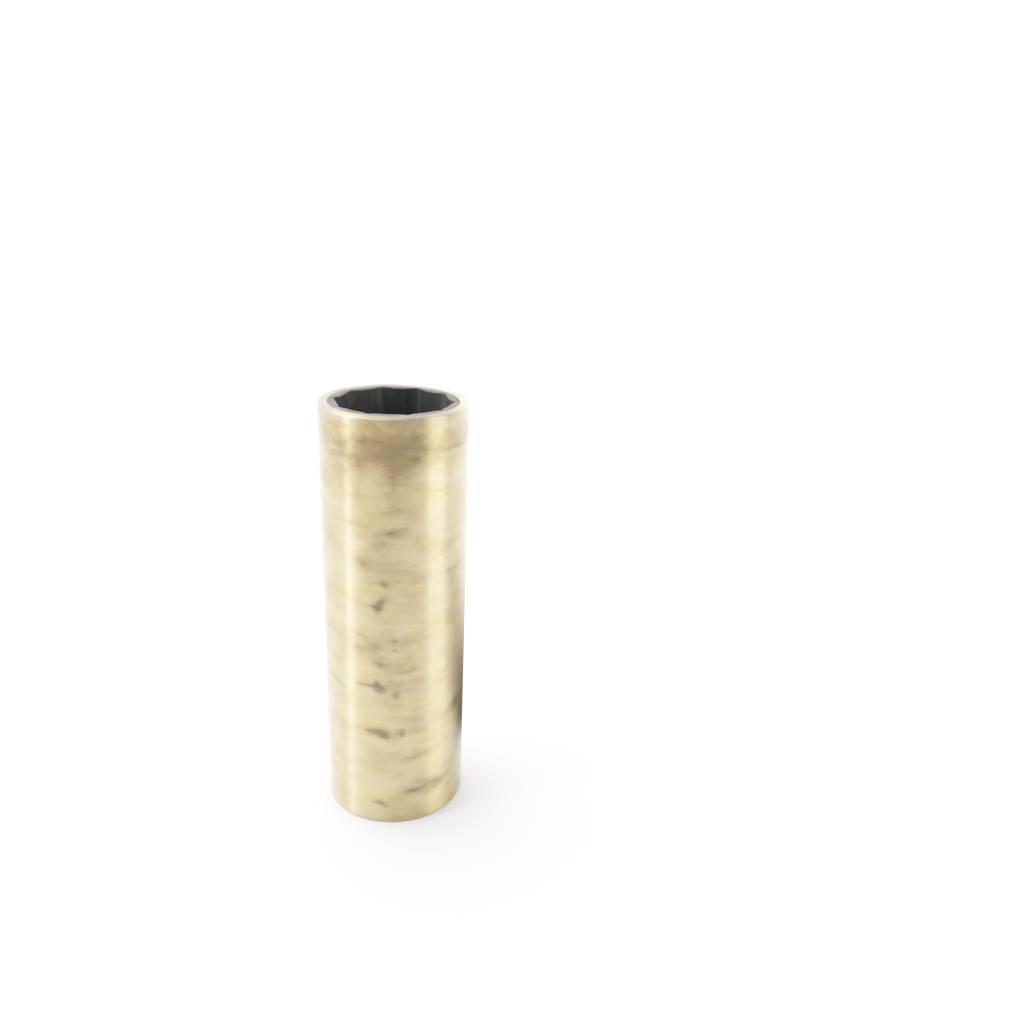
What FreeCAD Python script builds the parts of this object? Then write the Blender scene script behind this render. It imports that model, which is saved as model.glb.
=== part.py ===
"""Water-lubricated shaft bearing: a brass sleeve with a fluted rubber lining bonded in its bore.

The bearing is pressed into a stern tube or a shaft strut, and a propeller shaft runs in it on a film of
water. It has two pieces, which never move against each other:

    brass_shell     a turned tube, faced square at both ends, its outer edges broken
    rubber_lining   one rubber moulding, flush with the shell at both ends. Ten lands carry the shaft,
                    each crowned across its width and honed to the running bore along its middle, and
                    a water flute lies where each two crowns meet

Frame: millimetres, +Z along the bearing's axis, origin at the centre of the lower end face, and the
middle of one flute on +X.
"""

import FreeCAD, Part
import math
import os
import Sketcher

PARTS_FOLDER = "parts"

# Driving dimensions: alias, value (mm, or a count), meaning.
DIMENSIONS = [
    ("shaft_diameter", 38.1, "shaft that runs in the bearing, 1 1/2 inch"),
    ("running_gap", 0.055, "radial clearance between the shaft and the honed lands"),
    ("shell_diameter", 50.8, "outside of the brass shell, 2 inch"),
    ("shell_wall", 3.175, "wall of the brass shell, 1/8 inch"),
    ("shell_edge_break", 0.5, "chamfer on the shell's two outer edges"),
    ("bearing_length", 152.4, "overall length, four shaft diameters, 6 inch"),
    ("land_count", 10, "lands, and as many flutes between them"),
    ("land_crown", 30.0, "radius of each land's crown"),
    ("honed_depth", 0.2, "rubber honed off the top of each crown"),
    ("flute_root", 0.5, "radius in the bottom of each flute"),
    ("lining_lead_in", 0.4, "chamfer on the lands at both ends of the running bore"),
]

# Sizes worked out from the sheet, as formulas that sketches and features are bound to.
LENGTH = "Dimensions.bearing_length"
SHELL_RADIUS = "Dimensions.shell_diameter / 2"
SHELL_BORE = "Dimensions.shell_diameter / 2 - Dimensions.shell_wall"
RUNNING_BORE = "Dimensions.shaft_diameter / 2 + Dimensions.running_gap"
CROWN_TOP = f"({RUNNING_BORE} - Dimensions.honed_depth)"
CROWN_CENTRE = f"({CROWN_TOP} + Dimensions.land_crown)"
HALF_PITCH = "(180 / Dimensions.land_count)"

# A sketch's own origin point and horizontal axis, and the points of a line or an arc.
ORIGIN_POINT = (-1, 1)
HORIZONTAL_AXIS = -1
START, END, CENTRE = 1, 2, 3

Z_DIRECTION = FreeCAD.Vector(0, 0, 1)
TOUCHING = 1e-6


def write_sheet(doc):
    """The spreadsheet that every feature reads, one driving dimension to a row."""
    sheet = doc.addObject("Spreadsheet::Sheet", "Dimensions")
    for row, (alias, value, meaning) in enumerate(DIMENSIONS, start=1):
        sheet.set(f"A{row}", alias)
        sheet.set(f"B{row}", str(value))
        sheet.set(f"C{row}", meaning)
        sheet.setAlias(f"B{row}", alias)
    doc.recompute()
    return sheet


def new_body(doc, label):
    """An empty body, placed at the frame's origin."""
    body = doc.addObject("PartDesign::Body", label)
    body.Label = label
    body.Placement = FreeCAD.Placement()
    return body


def origin_feature(body, role):
    """One of a body's own origin planes or axes, such as XY_Plane."""
    return next(feature for feature in body.Origin.OriginFeatures if feature.Role == role)


def new_sketch(body, name, plane):
    """An empty sketch on one of the body's origin planes."""
    sketch = body.newObject("Sketcher::SketchObject", name)
    sketch.AttachmentSupport = (origin_feature(body, plane), [""])
    sketch.MapMode = "FlatFace"
    return sketch


def add_dimension(sketch, name, formula, kind, *where):
    """A dimension of a sketch, bound to a formula of the sheet's cells."""
    value = float(sketch.evalExpression(formula))
    constraint = sketch.addConstraint(Sketcher.Constraint(kind, *where, value))
    sketch.renameConstraint(constraint, name)
    sketch.setExpression(f"Constraints.{name}", formula)


def add_circle(sketch, name, formula):
    """A circle about the sketch's origin, its radius bound to a formula."""
    radius = float(sketch.evalExpression(formula))
    circle = sketch.addGeometry(Part.Circle(FreeCAD.Vector(), Z_DIRECTION, radius), False)
    sketch.addConstraint(Sketcher.Constraint("Coincident", circle, CENTRE, *ORIGIN_POINT))
    add_dimension(sketch, name, formula, "Radius", circle)


def end_circles(shape, radius):
    """Names of a tube's circular edges of one radius, one at each end."""
    return [
        f"Edge{number}"
        for number, edge in enumerate(shape.Edges, start=1)
        if isinstance(edge.Curve, Part.Circle) and abs(edge.Curve.Radius - radius) < TOUCHING
    ]


def break_end_edges(doc, body, base, radius, formula):
    """A chamfer on a feature's end edges that have the given radius, its size bound to a formula."""
    chamfer = body.newObject("PartDesign::Chamfer", "EdgeBreaks")
    chamfer.Base = (base, end_circles(base.Shape, radius))
    chamfer.setExpression("Size", formula)
    body.Tip = chamfer
    doc.recompute()
    return chamfer


def draw_wall(sketch, sheet):
    """The shell's wall, cut through on one side of the axis: a tall thin rectangle."""
    outer_x = sheet.shell_diameter / 2
    inner_x = outer_x - sheet.shell_wall
    top_y = sheet.bearing_length
    corners = [
        FreeCAD.Vector(inner_x, 0, 0),
        FreeCAD.Vector(outer_x, 0, 0),
        FreeCAD.Vector(outer_x, top_y, 0),
        FreeCAD.Vector(inner_x, top_y, 0),
    ]
    next_corners = corners[1:] + corners[:1]
    sides = [
        sketch.addGeometry(Part.LineSegment(here, there), False)
        for here, there in zip(corners, next_corners)
    ]
    for side, next_side in zip(sides, sides[1:] + sides[:1]):
        sketch.addConstraint(Sketcher.Constraint("Coincident", side, END, next_side, START))

    foot, outside, head, inside = sides
    for level in (foot, head):
        sketch.addConstraint(Sketcher.Constraint("Horizontal", level))
    for upright in (outside, inside):
        sketch.addConstraint(Sketcher.Constraint("Vertical", upright))
    sketch.addConstraint(Sketcher.Constraint("PointOnObject", foot, START, HORIZONTAL_AXIS))
    add_dimension(sketch, "BoreRadius", SHELL_BORE, "DistanceX", foot, START)
    add_dimension(sketch, "OutsideRadius", SHELL_RADIUS, "DistanceX", foot, END)
    add_dimension(sketch, "Length", LENGTH, "DistanceY", head, START)


def build_shell(doc, sheet):
    """The brass tube: its wall turned about the axis, then its two outer edges broken."""
    body = new_body(doc, "brass_shell")
    wall = new_sketch(body, "WallSection", "XZ_Plane")
    draw_wall(wall, sheet)

    tube = body.newObject("PartDesign::Revolution", "TurnedTube")
    tube.Profile = wall
    tube.ReferenceAxis = (wall, ["V_Axis"])
    tube.Angle = 360
    doc.recompute()
    break_end_edges(doc, body, tube, sheet.shell_diameter / 2, "Dimensions.shell_edge_break")
    return body


def draw_flute(sketch, sheet):
    """A flute's section, on the sketch's horizontal axis.

    Its two flanks are the crowns of the lands beside it, from each crown's top to the root. The root is a
    small arc tangent to both, and a line between the crowns' tops closes the section inside the bore.
    """
    half_pitch = math.pi / sheet.land_count
    crown = sheet.land_crown
    crown_top = float(sketch.evalExpression(CROWN_TOP))
    centre_x = (crown_top + crown) * math.cos(half_pitch)
    centre_y = (crown_top + crown) * math.sin(half_pitch)

    # The root arc's centre is on the axis, one crown and one root radius away from each crown's centre.
    root_x = centre_x - math.sqrt((crown + sheet.flute_root) ** 2 - centre_y**2)
    root_turn = math.atan2(centre_y, centre_x - root_x)

    upper_crown = Part.Circle(FreeCAD.Vector(centre_x, centre_y, 0), Z_DIRECTION, crown)
    lower_crown = Part.Circle(FreeCAD.Vector(centre_x, -centre_y, 0), Z_DIRECTION, crown)
    root_circle = Part.Circle(FreeCAD.Vector(root_x, 0, 0), Z_DIRECTION, sheet.flute_root)
    upper_arc = Part.ArcOfCircle(upper_crown, math.pi + half_pitch, math.pi + root_turn)
    lower_arc = Part.ArcOfCircle(lower_crown, math.pi - root_turn, math.pi - half_pitch)
    root_arc = Part.ArcOfCircle(root_circle, -root_turn, root_turn)
    chord = Part.LineSegment(upper_arc.StartPoint, lower_arc.EndPoint)
    upper, lower, root, closing = sketch.addGeometry([upper_arc, lower_arc, root_arc, chord], False)

    sketch.addConstraint(Sketcher.Constraint("Tangent", upper, END, root, END))
    sketch.addConstraint(Sketcher.Constraint("Tangent", lower, START, root, START))
    sketch.addConstraint(Sketcher.Constraint("Coincident", upper, START, closing, START))
    sketch.addConstraint(Sketcher.Constraint("Coincident", lower, END, closing, END))
    sketch.addConstraint(Sketcher.Constraint("Equal", upper, lower))
    sketch.addConstraint(Sketcher.Constraint("Vertical", closing))
    sketch.addConstraint(
        Sketcher.Constraint("Symmetric", upper, CENTRE, lower, CENTRE, HORIZONTAL_AXIS)
    )
    across = f"{CROWN_CENTRE} * cos({HALF_PITCH})"
    along = f"{CROWN_CENTRE} * sin({HALF_PITCH})"
    add_dimension(sketch, "CrownRadius", "Dimensions.land_crown", "Radius", upper)
    add_dimension(sketch, "RootRadius", "Dimensions.flute_root", "Radius", root)
    add_dimension(sketch, "CrownAcross", across, "DistanceX", upper, CENTRE)
    add_dimension(sketch, "CrownAlong", along, "DistanceY", upper, CENTRE)
    add_dimension(sketch, "TopAlong", f"{CROWN_TOP} * sin({HALF_PITCH})", "DistanceY", closing, START)


def build_lining(doc, sheet):
    """The rubber lining: a tube with the honed running bore, a lead-in at both ends, and the flutes."""
    body = new_body(doc, "rubber_lining")
    ring = new_sketch(body, "LiningRing", "XY_Plane")
    add_circle(ring, "BondedRadius", SHELL_BORE)
    add_circle(ring, "RunningRadius", RUNNING_BORE)

    tube = body.newObject("PartDesign::Pad", "HonedTube")
    tube.Profile = ring
    tube.setExpression("Length", LENGTH)
    doc.recompute()
    running_radius = sheet.shaft_diameter / 2 + sheet.running_gap
    led_in = break_end_edges(doc, body, tube, running_radius, "Dimensions.lining_lead_in")

    section = new_sketch(body, "FluteSection", "XY_Plane")
    draw_flute(section, sheet)
    flute = body.newObject("PartDesign::Pocket", "Flute")
    flute.Profile = section
    flute.Type = "ThroughAll"
    flute.Reversed = True
    doc.recompute()

    flutes = body.newObject("PartDesign::PolarPattern", "Flutes")
    flutes.Originals = [flute]
    flutes.Axis = (origin_feature(body, "Z_Axis"), [""])
    flutes.Angle = 360
    flutes.setExpression("Occurrences", "Dimensions.land_count")
    body.Tip = flutes
    doc.recompute()
    check_flutes(led_in, flute, flutes, sheet.land_count)
    return body


def check_flutes(plain, flute, flutes, count):
    """Stops unless the first flute removes rubber and the pattern removes as much, count times."""
    one = plain.Shape.Volume - flute.Shape.Volume
    every = plain.Shape.Volume - flutes.Shape.Volume
    if one <= 0 or abs(every / one - count) > 0.01:
        raise RuntimeError(f"flutes cut {every:.2f} cubic mm in all, and the first cuts {one:.2f}")


def check_document(doc, bodies):
    """Stops at any object that failed to recompute, and at any piece that isn't one valid solid."""
    for thing in doc.Objects:
        if "Invalid" in thing.State or "Error" in thing.State:
            raise RuntimeError(f"{thing.Name} failed: {thing.State}")
    for body in bodies:
        if body.Shape.isNull() or not body.Shape.isValid() or len(body.Shape.Solids) != 1:
            raise RuntimeError(f"{body.Label} is not one valid solid")


def main():
    doc = FreeCAD.newDocument("ShaftBearing")
    sheet = write_sheet(doc)
    bodies = [build_shell(doc, sheet), build_lining(doc, sheet)]
    doc.recompute()
    check_document(doc, bodies)

    os.makedirs(PARTS_FOLDER, exist_ok=True)
    for body in bodies:
        body.Shape.exportStep(os.path.join(PARTS_FOLDER, f"{body.Label}.step"))
        box = body.Shape.BoundBox
        print(
            f"{body.Label}: {body.Shape.Volume:.1f} cubic mm, {len(body.Shape.Faces)} faces,"
            f" {box.XLength:.3f} x {box.YLength:.3f} x {box.ZLength:.3f} mm"
        )


main()
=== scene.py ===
import math
import random

import bpy
from mathutils import Matrix, Vector


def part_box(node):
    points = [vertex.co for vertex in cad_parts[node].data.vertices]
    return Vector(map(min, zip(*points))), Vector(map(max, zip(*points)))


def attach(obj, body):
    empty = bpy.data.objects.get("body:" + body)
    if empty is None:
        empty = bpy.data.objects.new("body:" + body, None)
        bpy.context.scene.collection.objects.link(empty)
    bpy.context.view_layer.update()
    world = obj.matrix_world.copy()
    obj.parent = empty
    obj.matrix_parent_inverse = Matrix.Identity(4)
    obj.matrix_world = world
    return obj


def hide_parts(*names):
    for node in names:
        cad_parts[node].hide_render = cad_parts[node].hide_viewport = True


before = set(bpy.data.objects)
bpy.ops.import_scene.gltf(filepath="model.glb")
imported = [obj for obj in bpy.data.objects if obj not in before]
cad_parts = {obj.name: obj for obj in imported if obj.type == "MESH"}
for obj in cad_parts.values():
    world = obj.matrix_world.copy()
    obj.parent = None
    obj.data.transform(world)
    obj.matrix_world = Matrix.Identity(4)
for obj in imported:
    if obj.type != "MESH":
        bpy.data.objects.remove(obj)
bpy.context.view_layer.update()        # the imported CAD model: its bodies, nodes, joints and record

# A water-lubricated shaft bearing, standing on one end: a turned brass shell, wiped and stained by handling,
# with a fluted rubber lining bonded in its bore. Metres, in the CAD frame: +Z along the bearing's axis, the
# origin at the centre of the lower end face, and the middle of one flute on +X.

MM = 0.001

# ---------------------------------------------------------------- sizes, from the CAD frame

shell_low, shell_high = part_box("brass_shell")
lining_low, lining_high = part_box("rubber_lining")

# The CAD circles are drawn as polygons here, so the radii are taken to their flats, to stay inside the box.
LENGTH = shell_high.z - shell_low.z
SHELL_RADIUS = min(shell_high.x, -shell_low.x)
LINING_RADIUS = min(lining_high.x, -lining_low.x)

# The side of the bearing that the camera sees, and that the stains are placed from.
FRONT_AZIMUTH = math.radians(-84)

# Shell: its broken edges and how much they are softened, its sides, and the steps between its points up the
# outside and across the faces.
EDGE_BREAK = 0.5 * MM
EDGE_SOFTENING = 0.14 * MM
SHELL_SEGMENTS = 384
SHELL_LEVEL = 1.0 * MM
SHELL_FACE_STEP = 1.0 * MM

# Lining: ten lands, crowned across their width and honed to the running bore, with a flute between each two.
# The centre of a flute's root radius lies a little in from where the flute's two sides would meet. At both
# ends the lands have a lead-in, and the cut edges are just rounded.
LAND_COUNT = 10
LAND_CROWN = 30.0 * MM
RUNNING_BORE = 19.105 * MM
HONED_DEPTH = 0.2 * MM
CROWN_CENTRE = RUNNING_BORE - HONED_DEPTH + LAND_CROWN
FLUTE_ROOT = 0.5 * MM
ROOT_CENTRE_DEPTH = FLUTE_ROOT * 1.16
LEAD_IN = 0.4 * MM
CUT_EDGE = 0.12 * MM

# Where the lining has points: degrees from the middle of a land, heights near an end, and the step between
# the other heights. They are closest where the section bends.
HALF_LAND_TURNS = [-17.9, -17.3, -16.7, -16.1, -15.4, -14.4, -13.0, -11.4,
                   -9.8, -8.4, -7.3, -6.7, -6.2, -5.2, -2.6]
LINING_END_LEVELS = [0.0, 0.04 * MM, CUT_EDGE, 0.25 * MM, LEAD_IN, 0.6 * MM]
LINING_LEVEL = 2.5 * MM

# Edges with a sharper bend than this aren't shaded smooth.
SHARP_ANGLE = math.radians(35)

# ---------------------------------------------------------------- meshes


def new_piece(name, vertices, faces, material, node):
    """Adds a mesh object that stands for a CAD node, which it hides, rides on the root body and takes the
    given material.
    """
    mesh = bpy.data.meshes.new(name)
    mesh.from_pydata(vertices, [], faces)
    mesh.validate()
    mesh.shade_smooth()
    mesh.set_sharp_from_angle(angle=SHARP_ANGLE)
    mesh.materials.append(material)
    piece = bpy.data.objects.new(name, mesh)
    bpy.context.collection.objects.link(piece)
    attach(piece, "root")
    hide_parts(node)


def loop_faces(rows, columns):
    """Quads of a closed grid that wraps round both ways, vertex index = row * columns + column."""
    faces = []
    for row in range(rows):
        next_row = (row + 1) % rows
        for column in range(columns):
            next_column = (column + 1) % columns
            faces.append((row * columns + column, row * columns + next_column,
                          next_row * columns + next_column, next_row * columns + column))
    return faces


def spread(low, high, step):
    """Evenly spaced values strictly between low and high, about one step apart."""
    count = max(1, round((high - low) / step))
    return [low + (high - low) * index / count for index in range(1, count)]


def soft_corner(before, corner, after, radius, steps=4):
    """Points that round off one corner of a section, each end a radius away from it."""
    start = corner + (before - corner).normalized() * radius
    end = corner + (after - corner).normalized() * radius
    points = []
    for step in range(steps + 1):
        t = step / steps
        points.append(start * (1 - t) ** 2 + corner * 2 * t * (1 - t) + end * t ** 2)
    return points


# Small dents and nicks in the shell: degrees from the front, height, radius and depth in mm.
DENTS = [
    (76, 152.2, 0.9, 0.28),
    (-61, 151.9, 0.6, 0.10),
    (148, 152.0, 1.1, 0.20),
    (-14, 57.4, 0.8, 0.05),
    (-137, 96.0, 1.3, 0.08),
    (121, 31.0, 0.9, 0.07),
    (33, 0.5, 0.8, 0.16),
    (-112, 0.4, 1.0, 0.18),
]


def dent_depth(azimuth, height):
    """How far the shell's surface is pushed in at a place, by every dent near it."""
    depth = 0.0
    for dent_azimuth, dent_height, radius, dent in DENTS:
        turn = math.remainder(azimuth - FRONT_AZIMUTH - math.radians(dent_azimuth), math.tau)
        across = turn * SHELL_RADIUS / (radius * MM)
        along = (height - dent_height * MM) / (radius * MM)
        depth += dent * MM * math.exp(-(across ** 2 + along ** 2))
    return depth


def shell_section():
    """The wall's section as (radius, height) points: up the outside, across the top and down the bore."""
    face_edge = SHELL_RADIUS - EDGE_BREAK
    corners = [Vector((LINING_RADIUS, 0)), Vector((face_edge, 0)), Vector((SHELL_RADIUS, EDGE_BREAK)),
               Vector((SHELL_RADIUS, LENGTH - EDGE_BREAK)), Vector((face_edge, LENGTH)),
               Vector((LINING_RADIUS, LENGTH))]
    softened = EDGE_BREAK + EDGE_SOFTENING
    across_face = spread(LINING_RADIUS, face_edge - EDGE_SOFTENING, SHELL_FACE_STEP)
    points = [corners[0]]
    points += [Vector((radius, 0)) for radius in across_face]
    for index in (1, 2):
        points += soft_corner(corners[index - 1], corners[index], corners[index + 1], EDGE_SOFTENING)
    points += [Vector((SHELL_RADIUS, height)) for height in spread(softened, LENGTH - softened, SHELL_LEVEL)]
    for index in (3, 4):
        points += soft_corner(corners[index - 1], corners[index], corners[index + 1], EDGE_SOFTENING)
    points += [Vector((radius, LENGTH)) for radius in reversed(across_face)]
    points.append(corners[5])
    return points


def build_shell(material):
    """The brass tube: its section turned round the axis, and dented everywhere but at the bore."""
    section = shell_section()
    vertices = []
    for point in section:
        for segment in range(SHELL_SEGMENTS):
            azimuth = math.tau * segment / SHELL_SEGMENTS
            radius = point.x
            if radius > LINING_RADIUS + SHELL_FACE_STEP:
                radius -= dent_depth(azimuth, point.y)
            vertices.append((radius * math.cos(azimuth), radius * math.sin(azimuth), point.y))
    faces = loop_faces(len(section), SHELL_SEGMENTS)
    new_piece("turned_brass_shell", vertices, faces, material, "brass_shell")


def crown_radius(turn):
    """Distance from the axis to a land's crown, at an angle from the land's middle."""
    across = CROWN_CENTRE * math.sin(turn)
    return CROWN_CENTRE * math.cos(turn) - math.sqrt(LAND_CROWN ** 2 - across ** 2)


def lining_section():
    """The lining's running side, once round, as (azimuth, radius) pairs from the middle of a flute."""
    half_pitch = math.pi / LAND_COUNT
    flute_depth = crown_radius(half_pitch)
    root_centre = flute_depth - ROOT_CENTRE_DEPTH
    turns = [-half_pitch] + [math.radians(turn) for turn in HALF_LAND_TURNS] + [0.0]
    turns += [-turn for turn in reversed(turns[1:-1])]
    section = []
    for land in range(LAND_COUNT):
        middle = half_pitch * (2 * land + 1)
        for turn in turns:
            radius = max(RUNNING_BORE, crown_radius(turn))
            beside = flute_depth * (half_pitch - abs(turn))
            if beside < FLUTE_ROOT:
                radius = min(radius, root_centre + math.sqrt(FLUTE_ROOT ** 2 - beside ** 2))
            section.append((middle + turn, radius))
    return section


def build_lining(material):
    """The rubber moulding, its fluted bore lofted from end to end, with a small lead-in on the lands."""
    section = lining_section()
    last_level = LINING_END_LEVELS[-1]
    heights = LINING_END_LEVELS + spread(last_level, LENGTH - last_level, LINING_LEVEL)
    heights += [LENGTH - height for height in reversed(LINING_END_LEVELS)]
    vertices = []
    for height in heights:
        to_end = min(height, LENGTH - height)
        lead_in = RUNNING_BORE + max(0.0, LEAD_IN - to_end)
        cut_edge = CUT_EDGE * max(0.0, 1 - to_end / CUT_EDGE) ** 2
        for azimuth, radius in section:
            radius = max(radius + cut_edge, lead_in)
            vertices.append((radius * math.cos(azimuth), radius * math.sin(azimuth), height))
    for height in (LENGTH, 0.0):
        for azimuth, _ in section:
            vertices.append((LINING_RADIUS * math.cos(azimuth), LINING_RADIUS * math.sin(azimuth), height))
    faces = [tuple(reversed(face)) for face in loop_faces(len(heights) + 2, len(section))]
    new_piece("fluted_rubber_lining", vertices, faces, material, "rubber_lining")


# ---------------------------------------------------------------- material nodes


def add_node(tree, kind, inputs=None, **settings):
    """A node with its settings made; an input is either a value or another node's output."""
    node = tree.nodes.new(kind)
    for name, value in settings.items():
        setattr(node, name, value)
    for name, value in (inputs or {}).items():
        if isinstance(value, bpy.types.NodeSocket):
            tree.links.new(value, node.inputs[name])
        else:
            node.inputs[name].default_value = value
    return node


def maths(tree, operation, *values):
    """The output of a Math node."""
    return add_node(tree, "ShaderNodeMath", dict(enumerate(values)), operation=operation).outputs[0]


def smooth_step(tree, value, low, high, to_low=0.0, to_high=1.0):
    """A value eased from to_low to to_high as it goes from low to high."""
    inputs = {"Value": value, "From Min": low, "From Max": high, "To Min": to_low, "To Max": to_high}
    node = add_node(tree, "ShaderNodeMapRange", inputs, interpolation_type="SMOOTHSTEP")
    return node.outputs["Result"]


def mix_colour(tree, factor, first, second, blend="MIX"):
    """The output of a Mix node for colours."""
    node = add_node(tree, "ShaderNodeMix", {0: factor, 6: first, 7: second}, data_type="RGBA",
                    blend_type=blend)
    return node.outputs[2]


def stretched_noise(tree, coordinates, scale, detail=2.0, roughness=0.5):
    """A Noise node with its own scale along each axis, in features to the metre."""
    mapping = add_node(tree, "ShaderNodeMapping", {"Vector": coordinates, "Scale": scale})
    inputs = {"Vector": mapping.outputs[0], "Scale": 1.0, "Detail": detail, "Roughness": roughness}
    return add_node(tree, "ShaderNodeTexNoise", inputs)


def noise(tree, coordinates, scale, detail=2.0, roughness=0.5):
    """The plain value of stretched noise."""
    return stretched_noise(tree, coordinates, scale, detail, roughness).outputs["Fac"]


def dot_product(tree, vector, direction):
    """How far a vector goes in a direction."""
    node = add_node(tree, "ShaderNodeVectorMath", {0: vector, 1: direction}, operation="DOT_PRODUCT")
    return node.outputs["Value"]


def add_bump(tree, height, strength, distance):
    """The normal of a surface raised by a height."""
    return add_node(tree, "ShaderNodeBump", {"Height": height, "Strength": strength,
                                             "Distance": distance}).outputs[0]


def link_inputs(tree, shader, values):
    """Links each output to the shader's input of that name."""
    for name, value in values.items():
        tree.links.new(value, shader.inputs[name])


def new_material(name):
    """A material with nothing in it but a Principled shader, its node tree, and that shader."""
    material = bpy.data.materials.new(name)
    material.use_nodes = True
    tree = material.node_tree
    tree.nodes.clear()
    shader = add_node(tree, "ShaderNodeBsdfPrincipled")
    add_node(tree, "ShaderNodeOutputMaterial", {"Surface": shader.outputs[0]})
    return material, tree, shader


# ---------------------------------------------------------------- brass

# The colour of clean brass.
BRASS = (0.602, 0.488, 0.265, 1)

# What each change of the surface multiplies the brass by where it is strongest: dulling, brown tarnish and
# painted shade, grey or reddish grime, a copper bloom, yellower patches, painted light and the two faced
# ends.
DULL_TINT = (0.76, 0.73, 0.67, 1)
TARNISH_AND_SHADE_TINT = (0.49, 0.43, 0.28, 1)
GRIME_TINT = (0.26, 0.25, 0.25, 1)
RED_GRIME_TINT = (0.34, 0.22, 0.19, 1)
BLOOM_TINT = (1.0, 0.95, 0.91, 1)
WARM_TINT = (1.02, 1.0, 0.86, 1)
PAINTED_LIGHT_TINT = (1.13, 1.16, 1.22, 1)
FACED_TINT = (0.64, 0.64, 0.64, 1)

# The colour of the broken edges, which are rubbed clean.
RUBBED_EDGE = (0.46, 0.395, 0.275, 1)

# Noise over the brass, in features to the metre along X, Y and Z. Wiping and turning run round the shell.
WIPING_SCALE = (24, 24, 210)
TURNING_SCALE = (60, 60, 1900)
MOTTLE_SCALE = (90, 90, 150)
BLOTCH_SCALE = (310, 310, 480)
BLOOM_SCALE = (55, 55, 130)
RED_SCALE = (70, 70, 95)
WARM_SCALE = (64, 64, 150)

# The noise that makes the marks' outlines ragged, and its reach in mm round the shell and up it.
RAGGED_WANDER = (130, 130, 200)
RAGGED_REACH = (8.0, 3.4)
GRIME_WANDER = (330, 330, 420)
GRIME_REACH = (2.8, 1.7)

# Specks: cells to the metre, strength, the part of the cells that have none, and a speck's radii in cells
# where it is full and where it ends.
SPECK_CELLS = 260
SPECK_STRENGTH = 0.42
SPECKLESS = 0.55
SPECK_CORE = 0.03
SPECK_RADIUS = 0.10

# The sum of marks at which a stain, or the painted shade among the tarnish marks, is strongest, and how much
# of its tint is mixed in there.
TARNISH_AND_SHADE_FULL = 1.40
TARNISH_AND_SHADE_MOST = 0.92
GRIME_FULL = 0.72
GRIME_MOST = 0.62

# Shares of the dulling, and how much of the bloom there is without tarnish.
DULL_FROM_WIPING = 0.40
DULL_FROM_MOTTLE = 0.60
DULL_FROM_TURNING = 0.10
BLOOM_ON_CLEAN = 0.25

# The noise values between which each effect sets in.
WIPING_DULLS = (0.35, 0.75)
MOTTLE_DULLS = (0.38, 0.70)
TURNING_DULLS = (0.3, 0.8)
BLOOM_SHOWS = (0.50, 0.68)
WARMTH_SHOWS = (0.38, 0.62)
REDNESS_SHOWS = (0.45, 0.62)

# Two noise values, and what they multiply the marks by at each.
BLOTCH_BREAKS = (0.25, 0.75, 0.80, 1.18)
WIPING_BREAKS = (0.25, 0.75, 0.88, 1.12)

# How far up or down the normal points where a faced end, and a broken edge, start and are full.
FACED_END = (0.8, 0.97)
BROKEN_EDGE = (0.08, 0.40)

# Gloss: two mottle values and the roughness at each, and what stains and the painted shade change. The
# turning smears the gloss up and down, and a thin clear film gives the outside a paler sheen.
BRASS_ROUGHNESS = (0.3, 0.75, 0.38, 0.45)
TARNISH_AND_SHADE_ROUGHENS = 0.08
GRIME_ROUGHENS = 0.12
GRIME_UNMETALS = 0.25
ANISOTROPY = 0.97
SMEAR_TURN = 0.25
FILM = 0.9
FILM_OFF_ENDS = 0.7
FILM_ROUGHNESS = 0.16

# Relief: how much more the wiping gives than the turning, then strength and depth.
WIPING_RELIEF = 1.5
BRASS_RELIEF = (0.05, 0.05 * MM)
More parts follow.
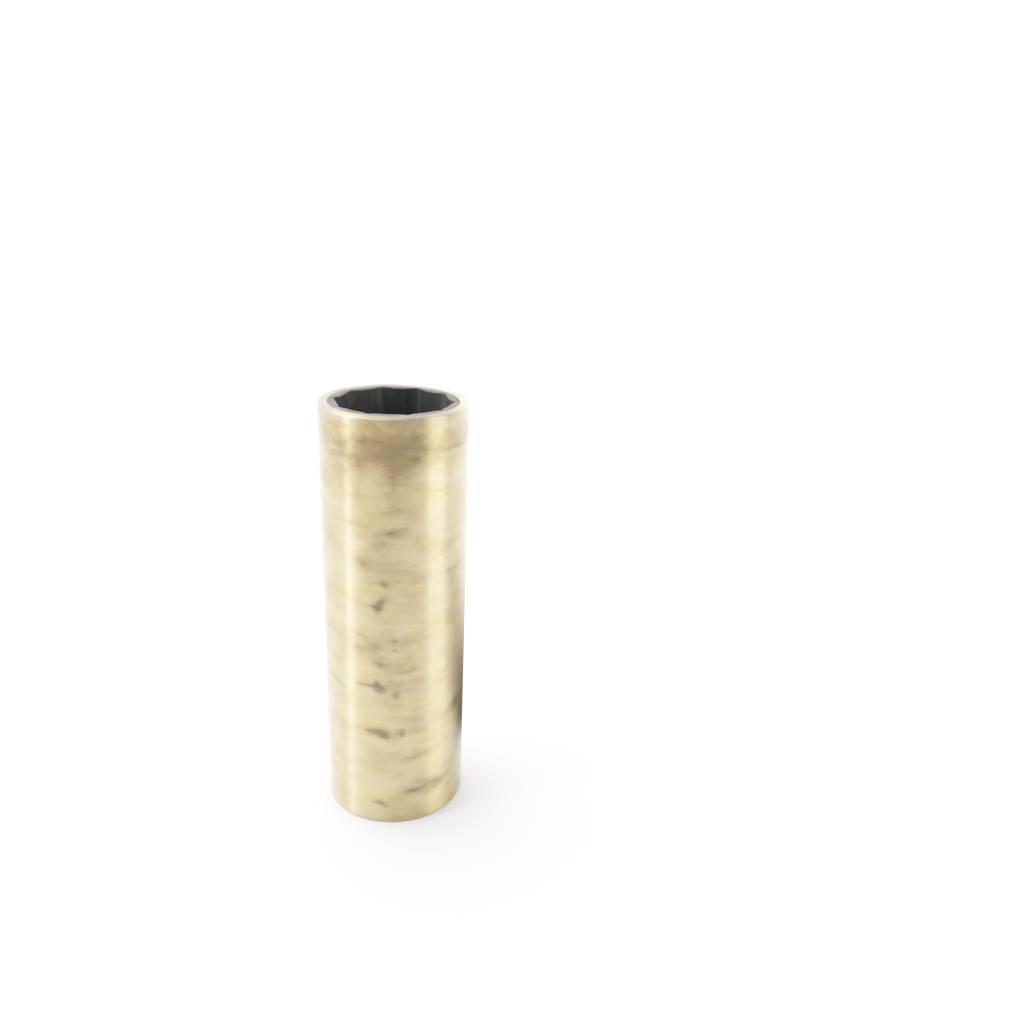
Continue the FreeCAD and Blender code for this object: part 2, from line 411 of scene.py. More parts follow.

# Brown handling marks, and one painted shade on the left of the top rim: degrees from the front, height,
# half width and half height in mm, tilt in degrees and strength.
TARNISH_AND_SHADE_MARKS = [
    (3, 160, 26, 48, 0, 0.95),
    # Painted shade: darkens the left of the top face and the wall just below it.
    (-100, 153, 30, 3.0, 0, 0.95),
    (-60, 147, 13, 9, 0, 0.45),
    (62, 147, 14, 9, 0, 0.42),
    (54, 90, 6, 16, 0, 0.42),
    (-52, 131, 14, 9, 0, 0.30),
    (2, 124, 15, 22, 0, 0.20),
    (1, 141, 15, 12, 8, 0.62),
    (2, 141.5, 11, 8, 12, 0.42),
    (15, 145.5, 11, 7, 12, 0.42),
    (2, 110, 12, 8, 0, 0.45),
    (0, 124, 12, 7, 0, 0.30),
    (-16, 146, 10, 5, 0, 0.40),
    (-1, 134, 6, 9, 0, 0.30),
    (-44, 142, 18, 10, 4, 0.55),
    (-31, 143, 9, 11, 0, 0.46),
    (-30, 133, 9, 8, 0, 0.28),
    (-35, 117, 7, 10, 0, 0.32),
    (-44, 139, 12, 1.6, 4, 0.30),
    (38, 143, 14, 12, 0, 0.22),
    (51, 141, 13, 1.5, -3, 0.45),
    (38, 128, 6, 1.6, -4, 0.40),
    (-58, 118, 5, 2.5, 0, 0.30),
    (-2, 121, 8, 4, 0, 0.30),
    (-1, 114.4, 10, 2.2, 8, 0.50),
    (-12, 110, 7, 6, 0, 0.42),
    (-20, 107, 5, 6, -30, 0.30),
    (-46, 96.8, 12, 1.3, 0, 0.50),
    (-24, 95.6, 12, 1.0, 0, 0.30),
    (44, 98, 13, 1.4, 4, 0.45),
    (-23, 102.7, 6, 4.0, -25, 0.50),
    (15, 102.6, 9, 4.0, 0, 0.45),
    (-4, 100, 9, 6, 0, 0.45),
    (12, 97, 12, 5, 0, 0.25),
    (-8, 93, 8, 7, 0, 0.45),
    (-20, 94, 5, 4, 0, 0.35),
    (14, 91.4, 10, 3.4, 3, 0.70),
    (-15, 87.5, 8, 5, 30, 0.45),
    (22, 86, 10, 2.0, 8, 0.25),
    (22, 78, 7, 1.4, 6, 0.40),
    (-28, 76.3, 8, 1.6, -8, 0.50),
    (-15, 72, 8, 6, 0, 0.60),
    (-28, 70.8, 6, 4, 0, 0.50),
    (-12, 66, 8, 5, -10, 0.60),
    (6, 68, 14, 6, 0, 0.28),
    (4, 62.8, 12, 2.4, 3, 0.60),
    (-26, 57.2, 8, 1.8, -2, 0.50),
    (-10, 57, 10, 6, -10, 0.50),
    (10, 58, 13, 5, 4, 0.28),
    (-52, 54.5, 10, 1.8, -10, 0.50),
    (-64, 62, 4, 8, 0, 0.25),
    (58, 43.5, 5, 5, 10, 0.65),
    (14, 48, 16, 4, 4, 0.28),
    (40, 52, 10, 2.0, 8, 0.30),
    (-14, 39, 13, 4.2, -2, 0.70),
    (-41, 38, 5, 2.2, 20, 0.40),
    (12, 38.6, 12, 3.2, 4, 0.45),
    (-4, 35, 6, 3, 0, 0.45),
    (0, 31, 7, 4, 0, 0.18),
    (34, 31, 10, 2.0, 10, 0.30),
    (15, 27, 15, 2.0, 4, 0.28),
    (-36, 27, 8, 1.6, 0, 0.25),
    (20, 28.6, 14, 1.4, 8, 0.55),
    (44, 20.5, 9, 2.2, 16, 0.55),
    (24, 21.5, 10, 2.0, 4, 0.25),
    (22, 13.6, 15, 4.2, 4, 0.85),
    (42, 15.6, 13, 3.6, 10, 0.75),
    (33, 11.2, 9, 2.6, 22, 0.55),
    (24, 17.2, 9, 1.2, 8, 0.40),
    (-10, 8.8, 12, 3.2, 0, 0.32),
    (36, 5.2, 9, 3.6, 10, 0.45),
    (62, 6, 8, 9, 0, 0.40),
    (63, 23, 7, 11, 0, 0.60),
    (68, 142, 9, 14, 0, 0.45),
    (-33, 124, 7, 17, 0, 0.34),
    (-48, 130, 16, 14, 0, 0.26),
    (-34, 38, 4, 9, 0, 0.25),
    (-12, 87, 7, 7, 0, 0.35),
    (-60, 6, 14, 7, 0, 0.35),
    (-66, 20, 12, 12, 0, 0.25),
]

# Painted light: a patch at the front near the foot, lightened against the floor's shade that the brass
# reflects there, in the same terms.
PAINTED_LIGHT_PATCHES = [
    (-2, 19, 22, 30, 0, 1.2),
]

# Darker spots, in the same terms.
GRIME_SPOTS = [
    (3, 142.5, 10, 7, 12, 0.24),
    (14, 145, 8, 5, 14, 0.18),
    (-24, 144.8, 2.6, 2.2, 0, 0.46),
    (-18, 145.1, 2.2, 1.9, 0, 0.36),
    (-11, 145.4, 2.8, 2.0, 0, 0.38),
    (16, 139.2, 4.0, 1.6, -4, 0.34),
    (-1, 132, 1.6, 3.4, 0, 0.30),
    (-2, 120.2, 2.0, 1.2, 0, 0.30),
    (-4.4, 114.2, 2.0, 1.6, 10, 0.50),
    (0, 114.9, 2.4, 0.9, 8, 0.30),
    (7, 115.6, 4.2, 1.2, 0, 0.34),
    (-23, 102.8, 2.6, 2.0, -20, 0.36),
    (15, 102.8, 2.0, 1.5, 0, 0.34),
    (-6, 100.8, 2.8, 1.4, 0, 0.26),
    (-9, 96.4, 2.3, 2.0, 0, 0.62),
    (-5, 95.4, 2.4, 2.0, -20, 0.28),
    (-16, 96.2, 1.6, 1.4, 0, 0.24),
    (-7, 91.6, 3.0, 2.0, 30, 0.30),
    (-13.4, 87.8, 2.6, 2.3, 0, 0.54),
    (-18.6, 88.2, 3.4, 1.4, -8, 0.40),
    (-12.6, 86.0, 2.2, 2.6, 20, 0.46),
    (-10.5, 89.6, 2.4, 2.2, 45, 0.42),
    (-1.3, 75.2, 2.4, 1.5, 0, 0.46),
    (0.8, 71.3, 2.4, 1.4, -8, 0.44),
    (-14.6, 72.9, 3.4, 3.0, 0, 0.40),
    (-26, 76.0, 3.4, 1.0, -10, 0.28),
    (-14.0, 66.1, 5.0, 2.4, -12, 0.46),
    (4.9, 62.7, 3.4, 1.1, 4, 0.42),
    (13, 63.4, 4.0, 1.0, 4, 0.30),
    (-14.4, 58.4, 2.0, 2.6, 0, 0.52),
    (-11.3, 55.8, 3.8, 3.0, -20, 0.66),
    (-15, 57.0, 3.4, 2.2, 0, 0.44),
    (-19.5, 57.3, 3.6, 1.1, -12, 0.48),
    (-29, 57.1, 4.2, 0.9, 4, 0.30),
    (-3.6, 59.3, 2.6, 0.8, 0, 0.34),
    (-0.1, 53.9, 3.0, 2.4, 20, 0.72),
    (-23, 39.2, 5.0, 1.6, 4, 0.42),
    (-16.0, 38.4, 4.6, 2.4, -4, 0.66),
    (-10.0, 38.2, 4.2, 2.6, 0, 0.60),
    (-7.2, 36.4, 2.4, 2.2, 0, 0.46),
    (3.6, 38.0, 2.8, 2.4, 0, 0.66),
    (6.3, 39.5, 1.8, 0.9, 0, 0.34),
    (19, 38.2, 4.6, 0.9, 6, 0.30),
    (-41, 37.6, 1.8, 1.4, 0, 0.26),
    (0, 30.8, 3.4, 2.2, 0, 0.22),
    (9.8, 13.0, 3.2, 1.7, 6, 0.42),
    (17, 13.8, 4.6, 2.0, 4, 0.42),
    (30, 15.2, 8, 1.6, 8, 0.26),
    (44, 18.9, 2.6, 1.3, 20, 0.40),
    (31, 20.3, 3.0, 0.9, 14, 0.30),
    (-17, 8.8, 3.4, 1.5, -4, 0.48),
    (-12.0, 9.0, 3.0, 2.0, 0, 0.54),
    (-9, 7.4, 3.0, 1.4, -10, 0.30),
    (-8.4, 4.7, 1.3, 1.1, 0, 0.36),
    (2, 5.9, 2.0, 1.2, 0, 0.26),
    (58, 44, 3.0, 4.4, 0, 0.50),
    (-63, 56, 4.0, 3.0, -20, 0.36),
    (-54, 54.8, 5.0, 1.2, -14, 0.26),
]

# Marks of both kinds on the sides that face away from the front: how many, and their half heights in mm.
FAR_SIDE_SEED = 11
FAR_SIDE_MARKS = 30
FAR_SIDE_MARK_SIZES = (2.0, 7.0)
FAR_SIDE_SPOTS = 20
FAR_SIDE_SPOT_SIZES = (1.0, 2.4)

# Where those marks lie, in degrees from the front and shares of the length, how many times wider than high
# they are, and their tilt in degrees and strength.
FAR_SIDE = (85, 275)
FAR_SIDE_HEIGHTS = (0.02, 0.98)
FAR_SIDE_WIDENING = (1.2, 5.0)
FAR_SIDE_TILTS = (-12, 12)
FAR_SIDE_STRENGTHS = (0.3, 0.8)

# A mark gets a twin if the seam at the back is within this many degrees of it.
SEAM_MARGIN = 10


def far_side_marks(rng, count, sizes):
    """Marks scattered over the far side of the shell: wider than they are high, and nearly level."""
    marks = []
    for _ in range(count):
        azimuth = rng.uniform(*FAR_SIDE)
        height = rng.uniform(*FAR_SIDE_HEIGHTS) * LENGTH / MM
        half_height = rng.uniform(*sizes)
        half_width = half_height * rng.uniform(*FAR_SIDE_WIDENING)
        tilt = rng.uniform(*FAR_SIDE_TILTS)
        strength = rng.uniform(*FAR_SIDE_STRENGTHS)
        marks.append((math.remainder(azimuth, 360), height, half_width, half_height, tilt, strength))
    return marks


def unrolled_surface(tree, place):
    """The outside of the shell laid flat: millimetres round it from the front, and millimetres up it."""
    turned = add_node(tree, "ShaderNodeVectorRotate", {"Vector": place, "Angle": -FRONT_AZIMUTH},
                      rotation_type="Z_AXIS")
    parts = add_node(tree, "ShaderNodeSeparateXYZ", {0: turned.outputs[0]})
    azimuth = maths(tree, "ARCTAN2", parts.outputs["Y"], parts.outputs["X"])
    around = maths(tree, "MULTIPLY", azimuth, SHELL_RADIUS / MM)
    up = maths(tree, "MULTIPLY", parts.outputs["Z"], 1 / MM)
    return add_node(tree, "ShaderNodeCombineXYZ", {"X": around, "Y": up}).outputs[0]


def shifted(tree, surface, place, scale, reach):
    """The unrolled surface with its points moved about by noise, up to about half of reach in mm."""
    wander = stretched_noise(tree, place, scale, detail=3, roughness=0.6)
    offset = add_node(tree, "ShaderNodeVectorMath", {0: wander.outputs["Color"], 1: (0.5, 0.5, 0.5)},
                      operation="SUBTRACT")
    return add_node(tree, "ShaderNodeVectorMath", {0: offset.outputs[0], 1: reach + (0.0,), 2: surface},
                    operation="MULTIPLY_ADD").outputs[0]


def wrapped(marks):
    """The marks, with a twin one turn away for each that may cross the seam at the back of the shell."""
    twins = []
    for mark in marks:
        azimuth, _, half_width, half_height, _, _ = mark
        reach = math.degrees((half_width + half_height) * MM / SHELL_RADIUS) + SEAM_MARGIN
        if abs(azimuth) + reach > 180:
            twins.append((azimuth - math.copysign(360, azimuth),) + mark[1:])
    return marks + twins


def marks_mask(tree, surface, marks):
    """The sum of soft elliptical marks on the unrolled surface."""
    total = 0.0
    for azimuth, height, half_width, half_height, tilt, strength in wrapped(marks):
        around = math.radians(azimuth) * SHELL_RADIUS / MM
        mapping = add_node(tree, "ShaderNodeMapping", {
            "Vector": surface, "Location": (around, height, 0), "Rotation": (0, 0, math.radians(tilt)),
            "Scale": (half_width, half_height, 1)}, vector_type="TEXTURE")
        mark = add_node(tree, "ShaderNodeTexGradient", {"Vector": mapping.outputs[0]},
                        gradient_type="SPHERICAL")
        total = maths(tree, "MULTIPLY_ADD", mark.outputs["Fac"], strength, total)
    return total


def specks_mask(tree, place):
    """Pinprick specks, scattered evenly."""
    cells = add_node(tree, "ShaderNodeTexVoronoi", {"Vector": place, "Scale": SPECK_CELLS})
    chance = add_node(tree, "ShaderNodeSeparateXYZ", {0: cells.outputs["Color"]}).outputs["X"]
    speck = smooth_step(tree, cells.outputs["Distance"], SPECK_CORE, SPECK_RADIUS, SPECK_STRENGTH, 0.0)
    return maths(tree, "MULTIPLY", speck, maths(tree, "GREATER_THAN", chance, SPECKLESS))


def brass_material():
    """Turned brass, wiped round and round, with brown handling marks, darker spots and pinprick specks,
    painted shade on the left of the rim and painted light low at the front.
    """
    material, tree, shader = new_material("turned_brass")
    coordinates = add_node(tree, "ShaderNodeTexCoord")
    place = coordinates.outputs["Object"]
    surface = unrolled_surface(tree, place)
    rng = random.Random(FAR_SIDE_SEED)
    tarnish_and_shade_marks = TARNISH_AND_SHADE_MARKS + far_side_marks(rng, FAR_SIDE_MARKS, FAR_SIDE_MARK_SIZES)
    grime_spots = GRIME_SPOTS + far_side_marks(rng, FAR_SIDE_SPOTS, FAR_SIDE_SPOT_SIZES)

    wiping = noise(tree, place, WIPING_SCALE)
    turning = noise(tree, place, TURNING_SCALE, roughness=0.6)
    mottle = noise(tree, place, MOTTLE_SCALE, detail=4, roughness=0.6)
    blotch = noise(tree, place, BLOTCH_SCALE, detail=3, roughness=0.6)
    bloom = noise(tree, place, BLOOM_SCALE, detail=3)
    redness = noise(tree, place, RED_SCALE, detail=1)
    warmth = noise(tree, place, WARM_SCALE, detail=4, roughness=0.6)

    # The marks, broken up inside by the blotches and the wiping.
    broken = maths(tree, "MULTIPLY", smooth_step(tree, blotch, *BLOTCH_BREAKS),
                   smooth_step(tree, wiping, *WIPING_BREAKS))
    ragged = shifted(tree, surface, place, RAGGED_WANDER, RAGGED_REACH)
    # The tarnish marks include one painted shade, darkening the left of the top rim.
    tarnish_and_shade = maths(tree, "MULTIPLY", marks_mask(tree, ragged, tarnish_and_shade_marks), broken)
    tarnish_and_shade = smooth_step(tree, tarnish_and_shade, 0.0, TARNISH_AND_SHADE_FULL, 0.0, TARNISH_AND_SHADE_MOST)
    # Painted light: lightens the front near the foot, against the floor's shade that the brass reflects
    # there.
    painted_light = marks_mask(tree, ragged, PAINTED_LIGHT_PATCHES)
    grime = marks_mask(tree, shifted(tree, surface, place, GRIME_WANDER, GRIME_REACH), grime_spots)
    grime = smooth_step(tree, maths(tree, "MULTIPLY", grime, broken), 0.0, GRIME_FULL, 0.0, GRIME_MOST)
    grime = maths(tree, "MAXIMUM", grime, specks_mask(tree, place))

    dull = maths(tree, "MULTIPLY", smooth_step(tree, wiping, *WIPING_DULLS), DULL_FROM_WIPING)
    dull = maths(tree, "MULTIPLY_ADD", smooth_step(tree, mottle, *MOTTLE_DULLS), DULL_FROM_MOTTLE, dull)
    dull = maths(tree, "MULTIPLY_ADD", smooth_step(tree, turning, *TURNING_DULLS), DULL_FROM_TURNING, dull)
    bloom = maths(tree, "MULTIPLY", smooth_step(tree, bloom, *BLOOM_SHOWS),
                  maths(tree, "ADD", tarnish_and_shade, BLOOM_ON_CLEAN))
    warmth = smooth_step(tree, warmth, *WARMTH_SHOWS)
    redness = smooth_step(tree, redness, *REDNESS_SHOWS)
    grime_tint = mix_colour(tree, redness, GRIME_TINT, RED_GRIME_TINT)

    facing = add_node(tree, "ShaderNodeSeparateXYZ", {0: coordinates.outputs["Normal"]})
    upright = maths(tree, "ABSOLUTE", facing.outputs["Z"])
    faced_end = smooth_step(tree, upright, *FACED_END)
    rubbed_edge = maths(tree, "SUBTRACT", smooth_step(tree, upright, *BROKEN_EDGE), faced_end)

    layers = [(dull, DULL_TINT), (tarnish_and_shade, TARNISH_AND_SHADE_TINT), (painted_light, PAINTED_LIGHT_TINT), (bloom, BLOOM_TINT),
              (warmth, WARM_TINT), (grime, grime_tint), (faced_end, FACED_TINT)]
    colour = BRASS
    for amount, tint in layers:
        colour = mix_colour(tree, amount, colour, tint, "MULTIPLY")
    colour = mix_colour(tree, rubbed_edge, colour, RUBBED_EDGE)

    roughness = smooth_step(tree, mottle, *BRASS_ROUGHNESS)
    roughness = maths(tree, "MULTIPLY_ADD", tarnish_and_shade, TARNISH_AND_SHADE_ROUGHENS, roughness)
    roughness = maths(tree, "MULTIPLY_ADD", grime, GRIME_ROUGHENS, roughness)
    relief = maths(tree, "MULTIPLY_ADD", wiping, WIPING_RELIEF, turning)
    link_inputs(tree, shader, {
        "Base Color": colour,
        "Roughness": roughness,
        "Metallic": maths(tree, "MULTIPLY_ADD", grime, -GRIME_UNMETALS, 1.0),
        "Coat Weight": maths(tree, "MULTIPLY_ADD", faced_end, -FILM_OFF_ENDS, FILM),
        "Normal": add_bump(tree, relief, *BRASS_RELIEF),
        "Tangent": add_node(tree, "ShaderNodeTangent", direction_type="RADIAL", axis="Z").outputs[0],
    })
    shader.inputs["Anisotropic"].default_value = ANISOTROPY
    shader.inputs["Anisotropic Rotation"].default_value = SMEAR_TURN
    shader.inputs["Coat Roughness"].default_value = FILM_ROUGHNESS
    return material


# ---------------------------------------------------------------- rubber

# Colours of the moulded, the worn and the cut rubber, of the dust on it, which in the flutes is also painted
# light, and of its gloss.
RUBBER = (0.031, 0.034, 0.033, 1)
RUBBER_WORN = (0.042, 0.044, 0.043, 1)
RUBBER_CUT = (0.076, 0.068, 0.050, 1)
DUST_AND_LIGHT = (0.17, 0.165, 0.145, 1)
RUBBER_GLOSS = (1.0, 0.96, 0.88, 1)

# Noise over the rubber, in features to the metre along X, Y and Z. The drawn streaks run along the bore.
DRAWN_SCALE = (420, 420, 22)
WEAR_SCALE = (110, 110, 70)
GRAIN_SCALE = (2600, 2600, 2600)

# The radii between which a flute's dust and painted light, and the painted light in its root, set in.
FLUTE_RADII = (19.3 * MM, 20.4 * MM)
ROOT_LIGHT_RADII = (20.2 * MM, 20.5 * MM)

# How much dust and painted light there is: dust and painted light even in a flute, painted light lifting the
# shade in its root, dust in patches on the lands, and extra dust in patches in a flute.
FLUTE_DUST_AND_LIGHT = 0.24
ROOT_PAINTED_LIGHT = 0.17
LAND_PATCHES = 0.20
FLUTE_PATCHES = 0.30

# The values between which each effect sets in: how far up or down the normal points, then noise.
END_FACE = (0.6, 0.95)
DRAWN_DUST = (0.42, 0.72)
WEAR_DUST = (0.35, 0.65)
WEAR_SHOWS = (0.3, 0.75)

# Two grain values and how worn the cut ends look at each, and two wear values and the roughness at each.
GRAIN_SHOWS = (0.3, 0.7, 0.0, 0.25)
RUBBER_ROUGHNESS = (0.3, 0.75, 0.42, 0.58)
END_ROUGHENS = 0.12

# Relief: how much more the drawn streaks give than the grain, then strength and depth.
DRAWN_RELIEF = 1.5
RUBBER_RELIEF = (0.25, 0.06 * MM)


def rubber_material():
    """Moulded black rubber: honed lands, dust and painted light in the flutes, and ground ends paler than
    the bore.
    """
    material, tree, shader = new_material("moulded_rubber")
    coordinates = add_node(tree, "ShaderNodeTexCoord")
    place = coordinates.outputs["Object"]
    parts = add_node(tree, "ShaderNodeSeparateXYZ", {0: place})
    across = maths(tree, "POWER", parts.outputs["X"], 2.0)
    across = maths(tree, "MULTIPLY_ADD", parts.outputs["Y"], parts.outputs["Y"], across)
    radius = maths(tree, "SQRT", across)
    facing = add_node(tree, "ShaderNodeSeparateXYZ", {0: coordinates.outputs["Normal"]})
    end_face = smooth_step(tree, maths(tree, "ABSOLUTE", facing.outputs["Z"]), *END_FACE)

    drawn = noise(tree, place, DRAWN_SCALE, detail=4, roughness=0.6)
    wear = noise(tree, place, WEAR_SCALE, detail=4, roughness=0.6)
    grain = noise(tree, place, GRAIN_SCALE)

    in_flute = smooth_step(tree, radius, *FLUTE_RADII)
    root_light = smooth_step(tree, radius, *ROOT_LIGHT_RADII)
    patches = maths(tree, "MULTIPLY", smooth_step(tree, drawn, *DRAWN_DUST),
                    smooth_step(tree, wear, *WEAR_DUST))
    dust_and_light = maths(tree, "MULTIPLY", patches,
                 maths(tree, "MULTIPLY_ADD", in_flute, FLUTE_PATCHES, LAND_PATCHES))
    # Painted light: the flutes, and their roots most, are lightened to lift their shade, on top of the dust
    # in them.
    dust_and_light = maths(tree, "MULTIPLY_ADD", in_flute, FLUTE_DUST_AND_LIGHT, dust_and_light)
    dust_and_light = maths(tree, "MULTIPLY_ADD", root_light, ROOT_PAINTED_LIGHT, dust_and_light)
    colour = mix_colour(tree, smooth_step(tree, wear, *WEAR_SHOWS), RUBBER, RUBBER_WORN)
    colour = mix_colour(tree, dust_and_light, colour, DUST_AND_LIGHT)
    ground = mix_colour(tree, smooth_step(tree, grain, *GRAIN_SHOWS), RUBBER_CUT, RUBBER_WORN)
    colour = mix_colour(tree, end_face, colour, ground)

    roughness = smooth_step(tree, wear, *RUBBER_ROUGHNESS)
    roughness = maths(tree, "MULTIPLY_ADD", end_face, END_ROUGHENS, roughness)
    relief = maths(tree, "MULTIPLY_ADD", drawn, DRAWN_RELIEF, grain)
    link_inputs(tree, shader, {
        "Base Color": colour,
        "Roughness": roughness,
        "Normal": add_bump(tree, relief, *RUBBER_RELIEF),
    })
    shader.inputs["Specular Tint"].default_value = RUBBER_GLOSS
    return material


# ---------------------------------------------------------------- stage, light and camera

# Floor: radius in metres, sides, colour, what the mottle multiplies that by, the mottle's scale, and gloss.
FLOOR_RADIUS = 40.0
FLOOR_SIDES = 128
FLOOR_COLOUR = (0.90, 0.90, 0.90, 1)
FLOOR_DARKENING = 0.985
FLOOR_SCALE = (9, 9, 9)
FLOOR_ROUGHNESS = 0.9
FLOOR_SPECULAR = 0.2

# Camera: distance from the axis and height, then how far it looks down, turns right and leans. Lens and
# sensor are in mm, and the clip distances in metres.
CAMERA_DISTANCE = 296.9 * MM
CAMERA_HEIGHT = 222.6 * MM
CAMERA_DOWN = math.radians(20.23)
CAMERA_RIGHT = math.radians(7.96)
CAMERA_LEAN = math.radians(2.41)
CAMERA_LENS = 31.48
CAMERA_SENSOR = 36
CAMERA_NEAR = 0.01
CAMERA_FAR = 100

# The room's brightness towards its darkest side, away from it, and the extra glow behind the bearing. Sides
# are in degrees from the front, and the spans are the cosines between which the brightness changes.
ROOM_DARK = 0.42
ROOM_PALE = 2.0
ROOM_GLOW = 1.4
ROOM_DARK_SIDE = 15
ROOM_GLOW_SIDE = 165
ROOM_DARK_SPAN = (-0.9, 0.9)
ROOM_GLOW_SPAN = (0.50, 1.0)

# Softboxes: degrees from the front, distance, height of the middle, width and height in metres, brightness
# and colour.
SOFTBOXES = [
    ("left_strip", -72, 1.0, 0.45, 0.19, 1.1, 7.6, (0.97, 0.99, 1.22)),
    ("right_wide", 66, 1.1, 0.50, 0.60, 1.0, 3.75, (1.00, 1.00, 1.06)),
]

# Dark cards, which only show as reflections and thin out towards every edge: degrees from the front,
# distance, degrees that they face, width and height in metres.
FLAGS = [
    ("edge_flag", 98.7, 0.0573, 143, 0.110, 0.104),
]
FLAG_COLOUR = (0.05, 0.05, 0.05, 1)

# How a card thins out: the shares of its width taken by its outer and inner sides, the shares of its height
# taken by its top and base, how far below the floor the base starts as a share of itself, and the density.
FLAG_SOFT_OUTER = 0.62
FLAG_SOFT_INNER = 0.28
FLAG_SOFT_TOP = 0.66
FLAG_SOFT_BASE = 0.12
FLAG_BASE_START = -0.4
FLAG_DENSITY = 0.95

# Overhead light: degrees from the front, degrees up, width in degrees and strength.
OVERHEAD = (-120, 62, 60, 2.6)


def floor_material():
    """Pale matte board with a faint mottle."""
    material, tree, shader = new_material("pale_board")
    place = add_node(tree, "ShaderNodeTexCoord").outputs["Object"]
    mottle = noise(tree, place, FLOOR_SCALE, detail=3)
    darker = tuple(FLOOR_DARKENING * channel for channel in FLOOR_COLOUR[:3]) + (1,)
    colour = mix_colour(tree, mottle, FLOOR_COLOUR, darker)
    tree.links.new(colour, shader.inputs["Base Color"])
    shader.inputs["Roughness"].default_value = FLOOR_ROUGHNESS
    shader.inputs["Specular IOR Level"].default_value = FLOOR_SPECULAR
    return material


def build_floor():
    """A round board that the bearing stands on."""
    mesh = bpy.data.meshes.new("floor")
    rim = []
    for side in range(FLOOR_SIDES):
        azimuth = math.tau * side / FLOOR_SIDES
        rim.append((FLOOR_RADIUS * math.cos(azimuth), FLOOR_RADIUS * math.sin(azimuth), 0))
    mesh.from_pydata(rim, [], [tuple(range(FLOOR_SIDES))])
    mesh.materials.append(floor_material())
    floor = bpy.data.objects.new("floor", mesh)
    bpy.context.collection.objects.link(floor)


def round_the_object(azimuth, distance, height):
    """A point at some degrees round from the front."""
    turn = FRONT_AZIMUTH + math.radians(azimuth)
    return Vector((distance * math.cos(turn), distance * math.sin(turn), height))


def add_softbox(name, position, target, width, height, brightness, colour):
    """A rectangular area light of a given brightness (radiance), turned to face its target."""
    light = bpy.data.lights.new(name, "AREA")
    light.shape = "RECTANGLE"
    light.size = width
    light.size_y = height
    light.energy = brightness * width * height * math.pi
    light.color = colour
    softbox = bpy.data.objects.new(name, light)
    softbox.location = position
    softbox.rotation_mode = "QUATERNION"
    softbox.rotation_quaternion = (target - position).to_track_quat("-Z", "Y")
    softbox.visible_camera = False
    bpy.context.collection.objects.link(softbox)


def add_flag(name, azimuth, distance, facing, width, tall):
    """A dark card that stands on the floor near the bearing and is seen only in reflections."""
    material, tree, shader = new_material(name)
    middle = round_the_object(azimuth, distance, 0)
    side = round_the_object(facing - 90, 1, 0)
    place = add_node(tree, "ShaderNodeTexCoord").outputs["Object"]
    along = dot_product(tree, place, side)
    up = add_node(tree, "ShaderNodeSeparateXYZ", {0: place}).outputs["Z"]
    outer_edge = middle.dot(side) + width / 2
    outer = smooth_step(tree, along, outer_edge, outer_edge - FLAG_SOFT_OUTER * width)
    inner = smooth_step(tree, along, outer_edge - width, outer_edge - (1 - FLAG_SOFT_INNER) * width)
    top = smooth_step(tree, up, tall, tall * (1 - FLAG_SOFT_TOP))
    base = smooth_step(tree, up, FLAG_BASE_START * FLAG_SOFT_BASE * tall, FLAG_SOFT_BASE * tall,
                       0.0, FLAG_DENSITY)
    density = maths(tree, "MULTIPLY", outer, inner)
    density = maths(tree, "MULTIPLY", density, top)
    density = maths(tree, "MULTIPLY", density, base)
    tree.links.new(density, shader.inputs["Alpha"])
    shader.inputs["Base Color"].default_value = FLAG_COLOUR
    shader.inputs["Roughness"].default_value = 1.0
    half = side * width / 2
    rise = Vector((0, 0, tall))
    corners = [middle - half, middle + half, middle + half + rise, middle - half + rise]
    mesh = bpy.data.meshes.new(name)
    mesh.from_pydata(corners, [], [(0, 1, 2, 3)])
    mesh.materials.append(material)
    flag = bpy.data.objects.new(name, mesh)
    bpy.context.collection.objects.link(flag)
    flag.visible_camera = False
    flag.visible_diffuse = False
    flag.visible_shadow = False


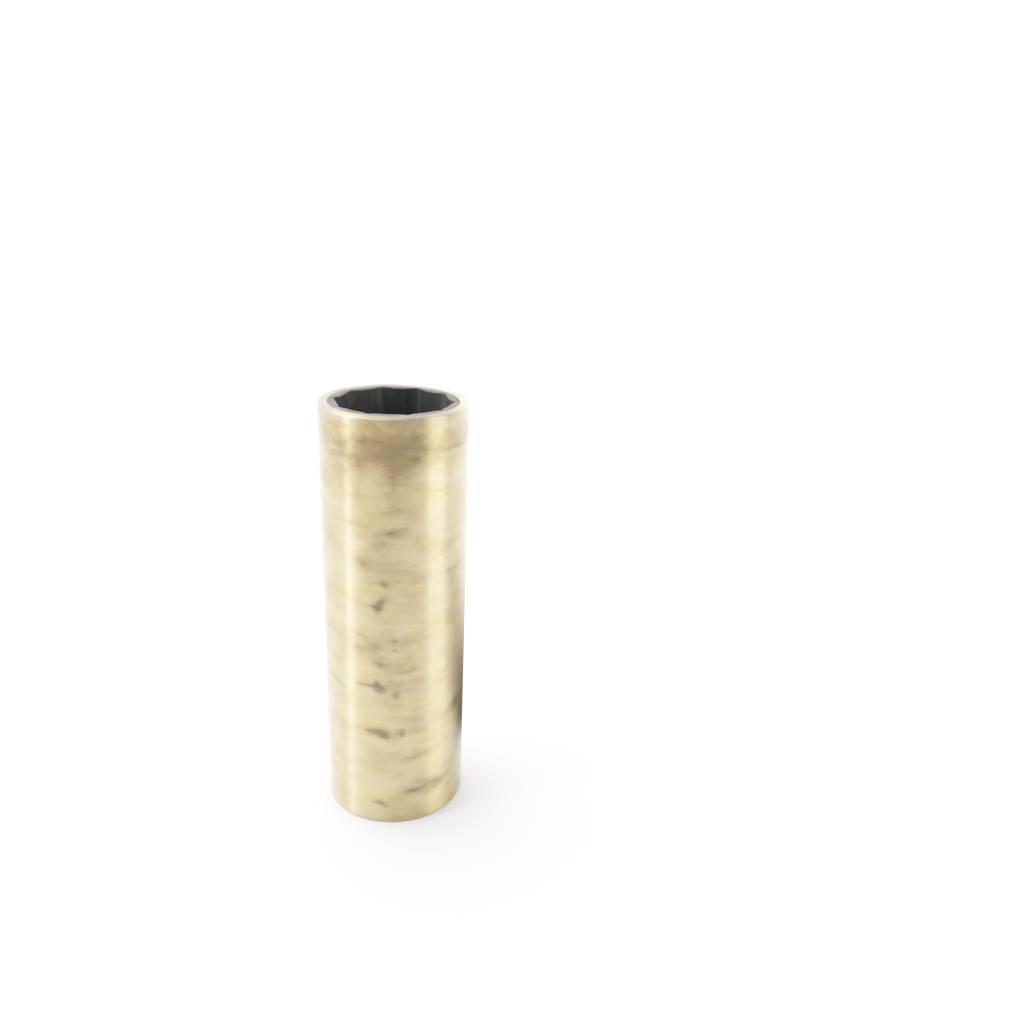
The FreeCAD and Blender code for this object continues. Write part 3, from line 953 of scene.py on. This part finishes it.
def light_the_studio():
    """A pale room, dark towards the front and glowing behind, with softboxes, a card and an overhead sun."""
    world = bpy.data.worlds.new("studio")
    world.use_nodes = True
    tree = world.node_tree
    direction = add_node(tree, "ShaderNodeTexCoord").outputs["Generated"]
    to_dark_side = dot_product(tree, direction, round_the_object(ROOM_DARK_SIDE, 1, 0))
    to_glow = dot_product(tree, direction, round_the_object(ROOM_GLOW_SIDE, 1, 0))
    room = smooth_step(tree, to_dark_side, *ROOM_DARK_SPAN, ROOM_PALE, ROOM_DARK)
    glow = smooth_step(tree, to_glow, *ROOM_GLOW_SPAN, 0.0, ROOM_GLOW)
    brightness = maths(tree, "ADD", room, glow)
    background = tree.nodes["Background"]
    background.inputs["Color"].default_value = (1, 1, 1, 1)
    tree.links.new(brightness, background.inputs["Strength"])
    bpy.context.scene.world = world
    for name, azimuth, distance, height, width, tall, brightness, colour in SOFTBOXES:
        position = round_the_object(azimuth, distance, height)
        add_softbox(name, position, Vector((0, 0, height)), width, tall, brightness, colour)
    for name, azimuth, distance, facing, width, tall in FLAGS:
        add_flag(name, azimuth, distance, facing, width, tall)
    azimuth, elevation, width, strength = OVERHEAD
    light = bpy.data.lights.new("overhead", "SUN")
    light.angle = math.radians(width)
    light.energy = strength
    overhead = bpy.data.objects.new("overhead", light)
    to_light = round_the_object(azimuth, 1, math.tan(math.radians(elevation)))
    overhead.rotation_mode = "QUATERNION"
    overhead.rotation_quaternion = to_light.to_track_quat("Z", "Y")
    bpy.context.collection.objects.link(overhead)


def build_camera():
    """The camera stands in front of the bearing, above its top, and looks down at it."""
    camera_data = bpy.data.cameras.new("camera")
    camera_data.lens = CAMERA_LENS
    camera_data.sensor_width = CAMERA_SENSOR
    camera_data.clip_start = CAMERA_NEAR
    camera_data.clip_end = CAMERA_FAR
    camera = bpy.data.objects.new("camera", camera_data)
    bpy.context.collection.objects.link(camera)
    front = Vector((math.cos(FRONT_AZIMUTH), math.sin(FRONT_AZIMUTH), 0))
    camera.location = front * CAMERA_DISTANCE + Vector((0, 0, CAMERA_HEIGHT))
    heading = Matrix.Rotation(FRONT_AZIMUTH + math.pi / 2 - CAMERA_RIGHT, 4, "Z")
    tilt = Matrix.Rotation(math.pi / 2 - CAMERA_DOWN, 4, "X")
    lean = Matrix.Rotation(CAMERA_LEAN, 4, "Z")
    camera.matrix_world = Matrix.Translation(camera.location) @ heading @ tilt @ lean
    bpy.context.scene.camera = camera


# Brightness out for brightness in, as a camera's own curve gives it: straight, then a soft shoulder.
BRIGHTEST = 1.8
SHOULDER = [(0.60, 0.60), (0.77, 0.70), (0.93, 0.775), (1.18, 0.865), (1.53, 0.955)]


def set_tone():
    """Plain display colours with a soft shoulder in the highlights."""
    settings = bpy.context.scene.view_settings
    settings.view_transform = "Standard"
    settings.use_curve_mapping = True
    mapping = settings.curve_mapping
    mapping.white_level = (BRIGHTEST,) * 3
    combined = mapping.curves[3]
    for bright, shown in SHOULDER:
        combined.points.new(bright / BRIGHTEST, shown)
    mapping.update()


# ---------------------------------------------------------------- build

build_shell(brass_material())
build_lining(rubber_material())
build_floor()
light_the_studio()
build_camera()
set_tone()

bpy.context.view_layer.update()
